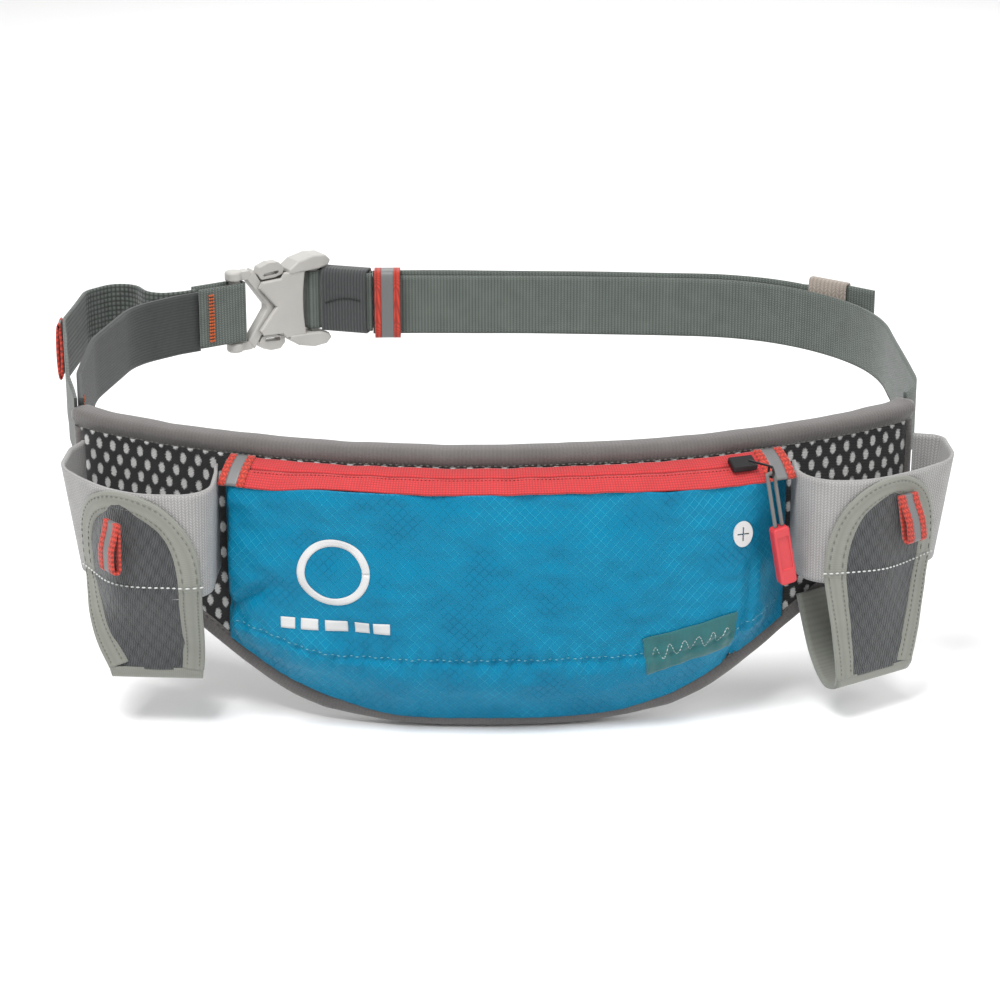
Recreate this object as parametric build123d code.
from build123d import *
import os
from math import acos, atan2, cos, degrees, hypot, pi, radians, sin, sqrt

# Waist pack with two bottle holsters, buckled as if worn. Millimetres, +Z up.
# The origin is the centre of the waist loop, at the middle of the 30 mm webbing.
# The front of the pack faces -Y and the buckle sits at the back, towards -X.

# ---- waist loop, seen from above (a belt line made of tangent arcs) ----
HALF_WIDTH = 190.0  # belt line to the middle, sideways
FRONT_Y = -126.0  # front of the belt line
BACK_X, BACK_Y = -60.0, 140.1  # rearmost point of the belt line, near the buckle
FRONT_R = 310.0  # curve of the padded panel
CORNER_R = 45.0  # front corners
REAR_R = 95.0  # rear corners
BACK_R = 1500.0  # nearly flat back

# ---- belt ----
WEB = 30.0  # webbing width
PLY = 1.4  # webbing thickness
TAIL_IN, TAIL_OUT = 2.4, 3.6  # loose outer layer, outside the belt line
TAIL_JOIN_S = 382.0  # where the tail's free end leaves the belt line
TAIL_FREE = 42.0  # length of the free end
TAIL_KEEPER = (6.0, 27.0)  # the keeper's ends along the free end

# ---- panel ----
PANEL_S = 192.0  # half length of the panel along the belt line
PANEL_TOP = 12.2  # top of the binding
BIND = 8.8  # binding height
BIND_T = 5.6  # half thickness of the binding
END_BIND = 4.0  # length of the binding on the panel's ends
PANEL_IN, PANEL_FOAM_IN, PANEL_FOAM_OUT, PANEL_OUT = -4.4, -3.4, 2.6, 4.2
GAP = 0.2  # between cloth layers
# Lower edge of the crescent: distance from the middle, height of the edge.
CRESCENT = (
    (0.0, -114.5),
    (40.0, -114.0),
    (74.0, -109.5),
    (90.0, -103.5),
    (108.0, -92.5),
    (127.0, -79.0),
    (146.0, -66.0),
    (168.0, -54.0),
    (196.0, -46.0),
)

# ---- pocket ----
POCKET_LEFT, POCKET_RIGHT = -117.0, 126.0  # ends of the pocket, along the panel
POCKET_D = 20.0  # how far the pocket's face stands off the belt line
POCKET_WALL = 1.4
POCKET_TOP = -4.4
FOLD_Z = -78.0  # where the face turns under
POCKET_INSET = 10.5  # the pocket's edge inside the crescent's edge

# ---- zip, on a slope from the top binding down to the pocket's face ----
ZIP_IN = (FRONT_R + 6.0, 2.6)  # radius and height of the upper edge
ZIP_OUT = (FRONT_R + POCKET_D, -3.0)  # radius and height of the lower edge
ZIP_LEFT, ZIP_RIGHT = -103.0, 110.0
TAPE_T = 1.0
COIL_W = 2.4
SLIDER_S = 101.0
SLIDER_L, SLIDER_W, SLIDER_H = 11.0, 7.0, 2.6
PULL_S = 107.5
PULL_TILT = 11.0  # the pull hangs a little to the right
BEND_R = 1.6  # the doubled cord's bend through the ring
RING_R, WIRE_R, ARM_R = 2.3, 0.55, 0.5
PULL_D = 27.5  # the pull hangs clear of the pocket's face
PULL_TOP = 2.0
CORD_D = 1.7
GRIP_DROP, GRIP_L, GRIP_W, GRIP_T = 25.5, 26.5, 7.6, 5.4  # from the ring's centre

# ---- holsters ----
ELASTIC_H, ELASTIC_T = 47.0, 1.6
ROOT_D = 7.0  # the elastic starts clear of the panel's binding
SKIN = 0.3  # gap between the elastic and the tongue over it
TONGUE_T = 1.6
ARCH_H = 44.0  # height of the tongue's rounded part
TRIM_W, TRIM_T = 9.0, 2.4  # binding round the tongue
STRAP_W, STRAP_T = 34.0, 1.8
LOOP_W, LOOP_H, LOOP_T = 10.5, 24.0, 1.8
# Each holster is seen from above as a route of straight runs: its root on the
# panel, its corners and its far root. The tongue covers part of that route.
HOLSTERS = (
    {
        "side": "left",
        "roots": (-120.5, -187.0),
        "corners": ((-121.5, -147.0), (-158.0, -143.5), (-185.5, -108.0)),
        "radii": (12.0, 35.0, 18.0),
        "top": 0.0,
        "tongue": (34.5, 33.0),  # reach on either side of the middle corner
        "foot": (-6.0, 19.5, -86.0),  # foot's middle, half width and height
        "strap": (0.0, -1.0, 37.0),  # outward direction and run to the panel
        "loop": (4.0, -12.0),  # along the tongue from its corner, and top
    },
    {
        "side": "right",
        "roots": (128.5, 193.0),
        "corners": ((129.5, -131.0), (158.0, -130.5), (198.0, -101.0), (196.0, -76.0)),
        "radii": (15.0, 35.0, 16.0, 4.0),
        "top": -1.5,
        "tongue": (19.0, 39.0),
        "foot": (-3.0, 20.0, -93.5),
        "strap": (0.54, -0.842, 27.0),
        "loop": (22.0, -11.0),
    },
)

# ---- buckle for 30 mm webbing ----
BUCKLE = (-111.0, 132.0, 2.0)  # middle of the buckle
BUCKLE_DIR = radians(32.0)  # its length, turned from +X
BK_T = 11.0
BK_SLOT = 3.4  # half the height of the space between the plates
MALE_T = 5.6
BAR_T = 4.6
BAR_HALF = 17.0  # half length of the bars that hold the webbing
MALE_BAR_U, FEMALE_BAR_U = -17.5, 27.2  # along the buckle
MALE_FOLD_U, FEMALE_FOLD_U = -13.4, 23.9  # where the webbing turns round them
BELT_STOP_X = -57.0  # the belt leaves its line here and bends out to the buckle

os.makedirs("parts", exist_ok=True)
saved = {}


def save(name, solid):
    """Write one node; a result in several lumps is one compound of solids."""
    solid.label = name
    export_step(solid, os.path.join("parts", name + ".step"))
    saved[name] = solid
    print(name, round(solid.volume, 1), "mm3")


# ---- the belt line ----
front_cy = FRONT_Y + FRONT_R
corner_x = HALF_WIDTH - CORNER_R
corner_y = front_cy - sqrt((FRONT_R - CORNER_R) ** 2 - corner_x**2)
front_turn = atan2(corner_x, front_cy - corner_y)
back_cy = BACK_Y - BACK_R
rear_x = HALF_WIDTH - REAR_R
rear_y = back_cy + sqrt((BACK_R - REAR_R) ** 2 - (rear_x - BACK_X) ** 2)
rear_turn = atan2(rear_y - back_cy, rear_x - BACK_X)
belt_end_turn = acos((BUCKLE[0] - BACK_X) / BACK_R)
SEGMENTS = (  # centre x, centre y, radius, start angle, turn; radius 0 is a line
    (0.0, front_cy, FRONT_R, -pi / 2, front_turn),
    (corner_x, corner_y, CORNER_R, -pi / 2 + front_turn, pi / 2 - front_turn),
    (HALF_WIDTH, corner_y, 0.0, rear_y - corner_y, 0.0),
    (rear_x, rear_y, REAR_R, 0.0, rear_turn),
    (BACK_X, back_cy, BACK_R, rear_turn, belt_end_turn - rear_turn),
)


def length(seg):
    return seg[2] * seg[4] if seg[2] else seg[3]


STOPS = [0.0]
for seg in SEGMENTS:
    STOPS.append(STOPS[-1] + length(seg))


def back_s(x):
    """Length along the belt line to the point x on its back."""
    return STOPS[4] + BACK_R * (acos((x - BACK_X) / BACK_R) - rear_turn)


def at(s, d):
    """Point on the belt line at length s from the front, d mm outside it."""
    side = 1 if s >= 0 else -1
    s = abs(s)
    index = max(i for i in range(len(SEGMENTS)) if s >= STOPS[i] - 1e-9)
    cx, cy, r, start, _ = SEGMENTS[index]
    along = s - STOPS[index]
    if r:
        turn = start + along / r
        return Vector(side * (cx + (r + d) * cos(turn)), cy + (r + d) * sin(turn))
    return Vector(side * (cx + d), cy + along)


def belt_edges(s0, s1, d):
    """Arcs and lines of the belt line from s0 to s1, d mm outside it."""
    whole = STOPS + [-x for x in STOPS]
    inner = sorted({round(x, 6) for x in whole if s0 + 0.01 < x < s1 - 0.01})
    marks = [s0] + inner + [s1]
    edges = []
    for a, b in zip(marks, marks[1:]):
        p, m, q = at(a, d), at((a + b) / 2, d), at(b, d)
        straight = abs((m - p).cross(q - p).Z) < 1e-6
        edges.append(Line(p, q) if straight else ThreePointArc(p, m, q))
    return edges


def band(s0, s1, d0, d1, z0, z1):
    """A strip that follows the belt line, from d0 to d1 outside it."""
    edges = belt_edges(s0, s1, d0) + belt_edges(s0, s1, d1)
    edges += [Line(at(s0, d0), at(s0, d1)), Line(at(s1, d0), at(s1, d1))]
    face = make_face(Curve() + edges)
    return extrude(Pos(0, 0, z0) * face, z1 - z0, dir=(0, 0, 1))


def ribbon(points, radii, thickness, z0, z1, shift=0.0):
    """A strap seen from above: straight runs joined by tangent arcs.

    shift moves the whole strap to the left of its route."""
    sides = []
    for side in (1, -1):
        moved, rounds = [], []
        last = len(points) - 1
        for i, p in enumerate(points):
            before = (Vector(*p) - Vector(*points[i - 1])).normalized() if i else None
            after = (Vector(*points[i + 1]) - Vector(*p)).normalized() if i < last else None
            before, after = before or after, after or before
            middle = (before + after).normalized()
            out = Vector(-middle.Y, middle.X)
            off = shift + side * thickness / 2
            reach = off / max(0.2, before.dot(middle))
            moved.append(Vector(*p) + out * reach)
            if 0 < i < last:
                left = before.cross(after).Z > 0
                rounds.append(radii[i - 1] - (1 if left else -1) * off)
        sides.append((moved, rounds))
    (a, ra), (b, rb) = sides
    edges = [FilletPolyline(*a, radius=ra), FilletPolyline(*b, radius=rb)]
    edges += [Line(a[0], b[0]), Line(a[-1], b[-1])]
    face = make_face(Curve() + [e for wire in edges for e in wire.edges()])
    return extrude(Pos(0, 0, z0) * face, z1 - z0, dir=(0, 0, 1))


def ribbon_straight(a, b, thickness, z0, z1, past=0.0):
    """A straight strap from a to b, each end moved out by past."""
    a, b = Vector(*a), Vector(*b)
    ahead = (b - a).normalized()
    side = Vector(-ahead.Y, ahead.X) * (thickness / 2)
    a, b = a - ahead * past, b + ahead * past
    face = make_face(Polyline(a + side, b + side, b - side, a - side, close=True))
    return extrude(Pos(0, 0, z0) * face, z1 - z0, dir=(0, 0, 1))


# ---- elevation outlines of the panel, drawn in X and Z ----
def lower_edge(inset):
    """The crescent's lower edge moved up into the panel by inset."""
    right = []
    for i, (x, z) in enumerate(CRESCENT):
        x0, z0 = CRESCENT[max(0, i - 1)]
        x1, z1 = CRESCENT[min(len(CRESCENT) - 1, i + 1)]
        run = hypot(x1 - x0, z1 - z0)
        tilt = (z1 - z0) / run if i else 0.0
        right.append((x - inset * tilt, z + inset * (x1 - x0) / run if i else z + inset))
    left = [(-x, z) for x, z in right[:0:-1]]
    return left + right


def above(points, top):
    """A block through the whole pack, over a lower edge and under top."""
    reach = 400.0
    edge = Spline(*[(x, z) for x, z in points])
    (xa, za), (xb, zb) = points[0], points[-1]
    sides = Polyline((xa, za), (xa - 20, za), (xa - 20, top), (xb + 20, top), (xb + 20, zb), (xb, zb))
    face = make_face(Curve() + (edge.edges() + sides.edges()))
    return extrude(Plane.XZ.offset(-reach / 2) * face, reach)


panel_block = above(lower_edge(BIND + GAP), PANEL_TOP - BIND - GAP)
whole_block = above(lower_edge(0.0), PANEL_TOP)
under_block = above(lower_edge(BIND), PANEL_TOP + 50)
deep = (-160.0, 60.0)

layers = (
    ("back_panel_foam", PANEL_FOAM_IN + GAP, PANEL_FOAM_OUT - GAP),
    ("panel_mesh_face", PANEL_FOAM_OUT, PANEL_OUT),
    ("panel_lining", PANEL_IN, PANEL_FOAM_IN),
)
for name, inner, outer in layers:
    save(name, band(-PANEL_S, PANEL_S, inner, outer, *deep) & panel_block)

top = band(-PANEL_S - END_BIND, PANEL_S + END_BIND, -BIND_T, BIND_T, PANEL_TOP - BIND, PANEL_TOP)
rims = top.edges().filter_by(GeomType.CIRCLE).filter_by(lambda e: abs(e.radius - FRONT_R) < 20)
save("top_binding", fillet(rims, 3.5))
bottom = band(-PANEL_S, PANEL_S, -BIND_T, BIND_T, *deep) & (whole_block - under_block)
save("bottom_binding", bottom)
end_low = CRESCENT[-1][1]
for side, name in ((-1, "end_binding_left"), (1, "end_binding_right")):
    ends = sorted((side * (PANEL_S + GAP), side * (PANEL_S + END_BIND)))
    save(name, band(*ends, -BIND_T, BIND_T, end_low, PANEL_TOP - BIND - GAP))

# ---- pocket: a shallow pouch, open at the top, in two sewn pieces ----
def pouch(shrink):
    """The pocket's outer form, or its inside when shrink is the wall."""
    d = POCKET_D - shrink
    left, right = POCKET_LEFT + shrink, POCKET_RIGHT - shrink
    start = PANEL_OUT + 2 * GAP
    side = 14.0  # length over which the face falls back to the panel
    face = belt_edges(left + side, right - side, d)
    low, high = at(left + side, d), at(right - side, d)
    turn_l = (at(left + side + 1, d) - low).normalized()
    turn_r = (high - at(right - side - 1, d)).normalized()
    edges = face + belt_edges(left, right, start)
    falls = (
        (at(left, start), low, (at(left, start + 1) - at(left, start)), turn_l),
        (high, at(right, start), turn_r, (at(right, start) - at(right, start + 1))),
    )
    edges += [Spline(p, q, tangents=(t0, t1)) for p, q, t0, t1 in falls]
    body = extrude(Pos(0, 0, deep[0]) * make_face(Curve() + edges), POCKET_TOP - deep[0])
    body &= above(lower_edge(POCKET_INSET + shrink), POCKET_TOP + 1)
    under = Polyline(
        (FRONT_R + POCKET_D - shrink, FOLD_Z),
        (FRONT_R + 8 - shrink, -107.0),
        (FRONT_R + 8 - shrink, -130.0),
        (FRONT_R + 40, -130.0),
        (FRONT_R + 40, FOLD_Z),
        close=True,
    )
    cutter = revolve(Pos(0, front_cy) * (Plane.XZ * make_face(under)), Axis((0, front_cy, 0), (0, 0, 1)))
    return body - cutter


shell = pouch(0.0) - pouch(POCKET_WALL)
tall = Pos(0, -150, FOLD_Z / 2) * Box(400, 200, -FOLD_Z)
low = Pos(0, -150, FOLD_Z - 50 - GAP) * Box(400, 200, 100)
save("pocket_front", shell & tall)
save("pocket_gusset", shell & low)


# ---- zip: every piece is turned about the panel's own centre ----
slope = (Vector(*ZIP_OUT) - Vector(*ZIP_IN)).normalized()
lift = Vector(-slope.Y, slope.X)
ZIP_RUN = (Vector(*ZIP_OUT) - Vector(*ZIP_IN)).length


def zip_strip(u0, u1, n0, n1, s0, s1):
    """A strip on the zip's slope: u down the slope, n off it, s along it."""
    base = Vector(*ZIP_IN)
    corners = [base + slope * u + lift * n for u, n in ((u0, n0), (u1, n0), (u1, n1), (u0, n1))]
    face = make_face(Polyline(*[(c.X, c.Y) for c in corners], close=True))
    sweep_angle = degrees((s1 - s0) / FRONT_R)
    start = degrees(s0 / FRONT_R) - 90
    flat = Pos(0, front_cy) * Rot(0, 0, start) * (Plane.XZ * face)
    return revolve(flat, Axis((0, front_cy, 0), (0, 0, 1)), sweep_angle)


coil_u = ZIP_RUN / 2 - COIL_W / 2
save("zip_tape_upper", zip_strip(GAP, coil_u - GAP, 0, TAPE_T, ZIP_LEFT, ZIP_RIGHT))
save("zip_coil", zip_strip(coil_u, coil_u + COIL_W, -0.5, 1.4, ZIP_LEFT, ZIP_RIGHT))
save(
    "zip_tape_lower",
    zip_strip(coil_u + COIL_W + GAP, ZIP_RUN - 1.2, 0, TAPE_T, ZIP_LEFT, ZIP_RIGHT),
)
for name, s0, s1 in (
    ("zip_end_tab_left", POCKET_LEFT + 2, ZIP_LEFT - GAP),
    ("zip_end_tab_right", ZIP_RIGHT + GAP, POCKET_RIGHT - 3),
):
    save(name, zip_strip(GAP, ZIP_RUN - 1.6, 0, 1.6, s0, s1))

slider_u = (ZIP_RUN - SLIDER_W) / 2
half_l = SLIDER_L / 2
slider = zip_strip(
    slider_u, slider_u + SLIDER_W, 1.7, 1.7 + SLIDER_H, SLIDER_S - half_l, SLIDER_S + half_l
)
save("zip_slider", fillet(slider.edges().filter_by(GeomType.LINE), 0.8))


def front_plane(s, d, z):
    """A plane on the panel's front: X along it, Y up, Z outwards."""
    turn = s / FRONT_R
    p = at(s, d)
    return Plane((p.X, p.Y, z), x_dir=(cos(turn), sin(turn), 0), z_dir=(sin(turn), -cos(turn), 0))


# A wire bail carries the pull: a bar out of the slider and a ring at its end.
ring_z = PULL_TOP + 0.4
arm_z = ring_z + RING_R
arm_in = at(SLIDER_S + 1.5, 17.0)
arm_out = at(PULL_S, PULL_D - 0.3)
arm_run = Polyline((arm_in.X, arm_in.Y, arm_z), (arm_out.X, arm_out.Y, arm_z))
wire = Plane((arm_in.X, arm_in.Y, arm_z), z_dir=arm_run % 0) * Circle(ARM_R)
bail_ring = front_plane(PULL_S, PULL_D, ring_z) * Rot(0, 90, 0) * Torus(RING_R, WIRE_R)
save("zip_tab", sweep(wire, arm_run) + bail_ring)

# The pull is drawn hanging from the foot of the ring, then tilted about it.
pull_plane = front_plane(PULL_S, PULL_D, ring_z - RING_R) * Rot(0, 0, PULL_TILT)
cord_low = RING_R + 0.3 - GRIP_DROP
cord_run = pull_plane * (
    Line((-BEND_R, cord_low), (-BEND_R, 0))
    + ThreePointArc((-BEND_R, 0), (0, BEND_R), (BEND_R, 0))
    + Line((BEND_R, 0), (BEND_R, cord_low))
)
cord_end = pull_plane * Pos(-BEND_R, cord_low, 0) * Rot(90, 0, 0) * Circle(CORD_D / 2)
save("zip_pull_cord", sweep(cord_end, cord_run))
grip_middle = pull_plane * Pos(0, RING_R - GRIP_DROP - GRIP_L / 2, -GRIP_T / 2)
grip = extrude(grip_middle * RectangleRounded(GRIP_W, GRIP_L, 1.6), GRIP_T)
grip = fillet(grip.edges().filter_by(lambda e: e.length > 3), 0.9)
rest = grip_middle * Pos(0, 1.5, GRIP_T) * Box(GRIP_W - 2.4, GRIP_L - 11, 1.2)
save("zip_pull_grip", grip - fillet(rest.edges(), 0.5))

# ---- headphone port and label on the pocket's face ----
port_at = front_plane(99.0, POCKET_D + 0.3, -26.5)
port = extrude(port_at * Ellipse(4.4, 5.8), 1.2)
for w, h in ((5.4, 0.7), (0.7, 6.4)):
    port -= extrude(port_at * Rectangle(w, h), 1.3)
save("headphone_port", port)

label = Polyline((58, -70), (97, -61.5), (99, -79), (61, -87.5), close=True)
label_block = extrude(Plane.XZ * make_face(label), 200)
save("fabric_label", band(40, 130, POCKET_D + 0.2, POCKET_D + 0.9, -90, -50) & label_block)

# ---- holsters ----
def flat(point):
    return Vector(point[0], point[1], 0)


def outline(reach, foot, top, inset, open_foot):
    """The tongue seen square on: a rounded arch over sides that draw in."""
    middle, half_foot, low = foot
    wide = reach - inset
    spring = top - ARCH_H
    rise = ARCH_H - inset
    turns = [pi * k / 12 for k in range(13)]
    crown = [(wide * cos(a), spring + rise * sin(a) ** 0.8) for a in turns]
    foot_z = low - 1 if open_foot else low
    foot_half = half_foot - inset
    legs = [(-wide, spring), (middle - foot_half, foot_z), (middle + foot_half, foot_z), (wide, spring)]
    return make_face(Curve() + (Spline(*crown).edges() + Polyline(*legs).edges()))


def holster(spec):
    side, top = spec["side"], spec["top"]
    turn = -1 if side == "left" else 1  # the route runs away from the middle
    roots = [at(s, ROOT_D) for s in spec["roots"]]
    route = [tuple(roots[0])[:2], *spec["corners"], tuple(roots[1])[:2]]
    band_z = (top - ELASTIC_H, top)
    save("holster_elastic_" + side, ribbon(route, spec["radii"], ELASTIC_T, *band_z))

    first, corner, last = [flat(p) for p in spec["corners"][:3]]
    ahead = (last - corner).normalized()
    near = corner + (first - corner).normalized() * spec["tongue"][0]
    far = corner + ahead * spec["tongue"][1]
    across = (far - near).normalized() * turn  # towards +X on both sides
    outward = Vector(across.Y, -across.X)
    square = Plane((near + far) * 0.5, x_dir=across * turn, z_dir=outward * turn)
    reach = (far - near).length / 2
    cover = [(p.X, p.Y) for p in (near, corner, far)]
    shell_from = -turn * (ELASTIC_T / 2 + SKIN)

    def layer(thickness, inset, hole=None):
        """One layer of the tongue, wrapped on the elastic."""
        off = shell_from - turn * thickness / 2
        wall = ribbon(cover, spec["radii"][1:2], thickness, -120, 10, off)
        shape = outline(reach, spec["foot"], top - 1.0, inset, False)
        if hole:
            shape -= outline(reach, spec["foot"], top - 1.0, hole, True)
        return wall & extrude(square * shape, 60, both=True)

    save("holster_binding_" + side, layer(TRIM_T, 0.0, TRIM_W))
    save("holster_tongue_" + side, layer(TONGUE_T, TRIM_W + GAP))

    # The strap turns under the bottle and runs back up to the panel's edge.
    out = flat(spec["strap"])
    foot_mid, _, foot_z = spec["foot"]
    start = square.origin + square.x_dir * foot_mid
    start += outward * (outward.dot(corner - square.origin) * 0.9)
    low = foot_z - 1.2
    run = [(0.0, low), (0.0, low - 3.5), (-14.0, low - 3.5), (-spec["strap"][2], low + 25)]
    edge = offset(FilletPolyline(*run, radius=[3.2, 6.0]), STRAP_T / 2, side=Side.BOTH, closed=True)
    profile = Plane(start, x_dir=out, z_dir=Vector(-out.Y, out.X))
    if profile.y_dir.Z < 0:
        profile = Plane(start, x_dir=out, z_dir=Vector(out.Y, -out.X))
    save("holster_strap_" + side, extrude(profile * make_face(edge.edges()), STRAP_W / 2, both=True))

    # The finger loop hangs on the tongue's outer side.
    along, loop_top = spec["loop"]
    loop_in = ELASTIC_T / 2 + SKIN + TRIM_T + 0.5
    run_out = Vector(ahead.Y, -ahead.X) * turn
    loop_at = Plane(corner + ahead * along + run_out * loop_in, x_dir=ahead * turn, z_dir=run_out)
    if loop_at.y_dir.Z < 0:
        loop_at = Plane(loop_at.origin, x_dir=ahead * -turn, z_dir=run_out)
    loop = extrude(loop_at * Pos(0, loop_top - LOOP_H / 2) * Rectangle(LOOP_W, LOOP_H), LOOP_T)
    eye_at = loop_at.offset(LOOP_T / 2 - 0.25) * Pos(0, loop_top - LOOP_H / 2 - 1)
    eye = eye_at * Rectangle(LOOP_W, LOOP_H - 5)
    save("finger_loop_" + side, loop - extrude(eye, 0.5))


for spec in HOLSTERS:
    holster(spec)

# ---- belt ----
half = WEB / 2
TAIL_LIFT = 2.0  # the loose layer rides a little higher
FREE_LIFT = 5.5  # and its free end higher still
belt_stop = back_s(BELT_STOP_X)
save("belt_webbing", band(PANEL_S + END_BIND + GAP, belt_stop, -PLY / 2, PLY / 2, -half, half))
tail_z = (-half + TAIL_LIFT, half + TAIL_LIFT)
save("webbing_tail", band(TAIL_JOIN_S, belt_stop, TAIL_IN, TAIL_OUT, *tail_z))

# The tail's free end runs on straight where the belt curves away.
join, before_join = at(TAIL_JOIN_S - 0.2, 3.0), at(TAIL_JOIN_S + 2, 3.0)
off_line = (join - before_join).normalized()
tail_end = join + off_line * TAIL_FREE
free = [(join.X, join.Y), (tail_end.X, tail_end.Y)]
save("tail_hem", ribbon_straight(*free, 2.4, -half + FREE_LIFT, half + FREE_LIFT))


def tube(a, b, gap, wall, z0, z1):
    """A flat tube round webbing that runs straight from a to b."""
    outer = ribbon_straight(a, b, 2 * (gap + wall), z0 - wall, z1 + wall)
    return outer - ribbon_straight(a, b, 2 * gap, z0, z1, 1.0)


keeper_a, keeper_b = [join + off_line * t for t in TAIL_KEEPER]
keeper_ends = ((keeper_a.X, keeper_a.Y), (keeper_b.X, keeper_b.Y))
save("tail_keeper", tube(*keeper_ends, 1.5, 1.0, -half + FREE_LIFT - 0.4, half + FREE_LIFT + 0.4))


def sleeve(s0, s1, d0, d1, wall, z0, z1):
    """A flat tube round webbing that follows the belt line."""
    outer = band(s0, s1, d0 - wall, d1 + wall, z0 - wall, z1 + wall)
    return outer - band(s0 - 1, s1 + 1, d0, d1, z0, z1)


save("reflective_keeper", sleeve(back_s(-43), back_s(-56), -4.0, 4.4, 1.0, -half - 0.5, half + 2.4))

# ---- buckle ----
bu = Vector(cos(BUCKLE_DIR), sin(BUCKLE_DIR))  # towards the female half
bn = Vector(-sin(BUCKLE_DIR), cos(BUCKLE_DIR))  # outwards
bk = Plane(BUCKLE, x_dir=bu, z_dir=bn * -1)


def plate(shape, thickness):
    return extrude(bk * shape, thickness / 2, both=True)


def rounded(points, radius):
    """A closed outline with round corners."""
    face = make_face(Polyline(*points, close=True))
    return fillet(face.vertices(), radius)


def both_ways(points):
    """Points of an upper half outline, followed by their mirror images."""
    return points + [(u, -v) for u, v in reversed(points)]


# Female half: two plates with a notched mouth, rails and a bar.
right_edge = (Spline((20.5, 17), (19.0, 0), (20.5, -17))).edges()
mouth = [(20.5, 17), (9, 17), (7, 14.4), (-4, 14), (-6, 11)]
left_edge = Polyline(*mouth, (3.5, 0), *[(u, -v) for u, v in mouth[::-1]])
female = plate(make_face(Curve() + (right_edge + left_edge.edges())), BK_T)
female = fillet(female.edges().filter_by(lambda e: abs((e % 0.5).dot(bn)) < 0.1 and e.length > 8), 1.0)
female -= plate(Pos(5, 0) * Rectangle(24, 60), 2 * BK_SLOT)
rail = [(11.0, 16), (11.0, 18.5), (16, 22), (25, 24), (32, 23.4), (35, 20.5), (33.5, 17.8), (28, 16.6)]
for flip in (1, -1):
    shape = rounded([(u, v * flip) for u, v in rail], 0.8)
    side_rail = plate(shape, BK_T + 1.0)
    female += fillet(side_rail.edges().filter_by(lambda e: e.length > 4.5), 1.0)
female += plate(Pos(FEMALE_BAR_U, 0) * Rectangle(4.0, 2 * BAR_HALF), BAR_T)
save("buckle_female", female)

# Male half: a bar between two barrels, and two arms that meet in a point.
v_arms = both_ways([(-12.0, 16.3), (-8.2, 20.6), (-3.8, 13.6), (6.0, 2.2)])
v_arms += [(-1.0, -1.2), (-1.0, 1.2)]
male = plate(make_face(Polyline(*v_arms, close=True)), MALE_T)
male = fillet(male.faces().sort_by(Axis((0, 0, 0), tuple(bn)))[0].edges(), 0.8)
male += plate(Pos(MALE_BAR_U, 0) * Rectangle(4.2, 2 * BAR_HALF), BAR_T)
for flip in (1, -1):
    corners = [(-20.5, 16.2), (-20.5, 20.4), (-8.6, 20.4), (-11.5, 16.2)]
    link = plate(rounded([(u, v * flip) for u, v in corners], 1.0), MALE_T)
    barrel = bk * Pos(MALE_BAR_U - 0.6, flip * 18.4, 0) * Rot(90, 0, 0) * Cylinder(4.3, 5.2)
    male += link + fillet(barrel.edges().filter_by(GeomType.CIRCLE), 1.4)
save("buckle_male", male)

# The prongs are the two springy lozenges that snap into the female half.
lozenge = [(-3.6, 14.8), (-5.4, 17.6), (-4.2, 21.0), (1.0, 22.8)]
lozenge += [(6.4, 22.6), (9.2, 19.6), (8.8, 16.4), (4.0, 15.0)]
for flip, name in ((1, "buckle_prong_upper"), (-1, "buckle_prong_lower")):
    shape = rounded([(u, v * flip) for u, v in lozenge], 1.0)
    shape -= Pos(2.0, 17.2 * flip) * Rot(0, 0, 4 * flip) * SlotOverall(9.0, 1.8)
    save(name, plate(shape, MALE_T))


def buckle_point(u, n):
    p = Vector(BUCKLE[0], BUCKLE[1]) + bu * u + bn * n
    return (p.X, p.Y)


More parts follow.
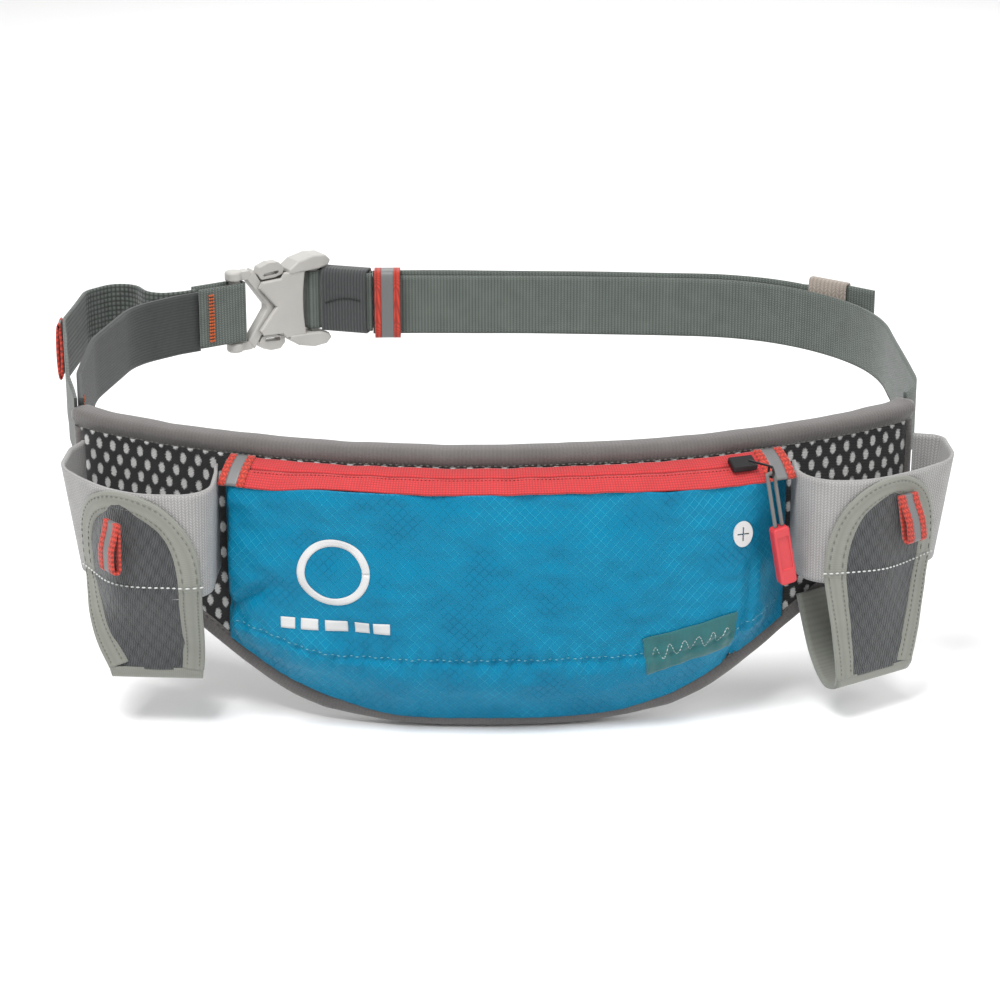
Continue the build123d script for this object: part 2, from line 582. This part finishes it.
# The belt bends out to the buckle and is folded round the female bar, the left
# strap's webbing round the male one.
fold_z = (BUCKLE[2] - half, BUCKLE[2] + half)
stop_out, stop_in = at(belt_stop + 0.3, 2.6), at(belt_stop + 0.3, -2.6)
fold = [
    (stop_out.X, stop_out.Y),
    buckle_point(31.8, 3.6),
    buckle_point(FEMALE_FOLD_U, 3.6),
    buckle_point(FEMALE_FOLD_U, -3.6),
    buckle_point(31.0, -3.6),
    (stop_in.X, stop_in.Y),
]
save("belt_fold", ribbon(fold, [2.0, 1.6, 1.6, 1.6], PLY, *fold_z))
sleeve_mid = [Vector(BELT_STOP_X, BACK_Y), (Vector(*fold[1]) + Vector(*fold[4])) * 0.5]
sleeve_run = sleeve_mid[1] - sleeve_mid[0]
sleeve_ends = [sleeve_mid[0] + sleeve_run * t for t in (0.09, 0.9)]
sleeve_ends = [(p.X, p.Y) for p in sleeve_ends]
save("sleeve_keeper", tube(*sleeve_ends, 4.2, 1.0, fold_z[0] - 0.5, fold_z[1] + 0.5))
MALE_FOLD_END = -36.5  # where the doubled webbing is sewn together
fold_run = ((MALE_FOLD_END, 3.6), (MALE_FOLD_U, 3.6), (MALE_FOLD_U, -3.6), (MALE_FOLD_END, -3.6))
male_fold = [buckle_point(u, n) for u, n in fold_run]
save("male_webbing_loop", ribbon(male_fold, [1.8, 1.8], PLY, *fold_z))

# ---- left side: elastic strap inside, slack limiter webbing outside ----
start = at(-PANEL_S - END_BIND - 1.2, -0.5)
strap_route = [
    (start.X, start.Y),
    (-187.5, -25.0),
    (-187.0, 30.0),
    (-174.0, 86.0),
    buckle_point(-50.0, -0.6),
    buckle_point(-38.0, -0.6),
]
save("left_elastic_strap", ribbon(strap_route, [40.0, 60.0, 40.0, 30.0], 2.0, -half, half))
slack = at(-PANEL_S - END_BIND - GAP, 3.0)
slack_route = [
    (slack.X, slack.Y),
    (-191.5, -30.0),
    (-204.0, 62.0),
    (-199.0, 112.0),
    (-180.0, 133.0),
    (-166.0, 105.0),
    buckle_point(-45.0, 1.9),
    buckle_point(-38.0, 1.9),
]
slack_radii = [40.0, 40.0, 15.0, 11.0, 12.0, 20.0]
save("left_limiter_webbing", ribbon(slack_route, slack_radii, PLY, -half + 1, half + 1))
loop_ring = Box(2.6, 12, 27) - Box(1.0, 13, 24)
save("left_reflective_loop", Pos(-206.0, 62, 1) * loop_ring)

print(len(saved), "nodes")
total = Compound([s for s in saved.values()])
box = total.bounding_box()
print("box", box.min, box.max, box.size)
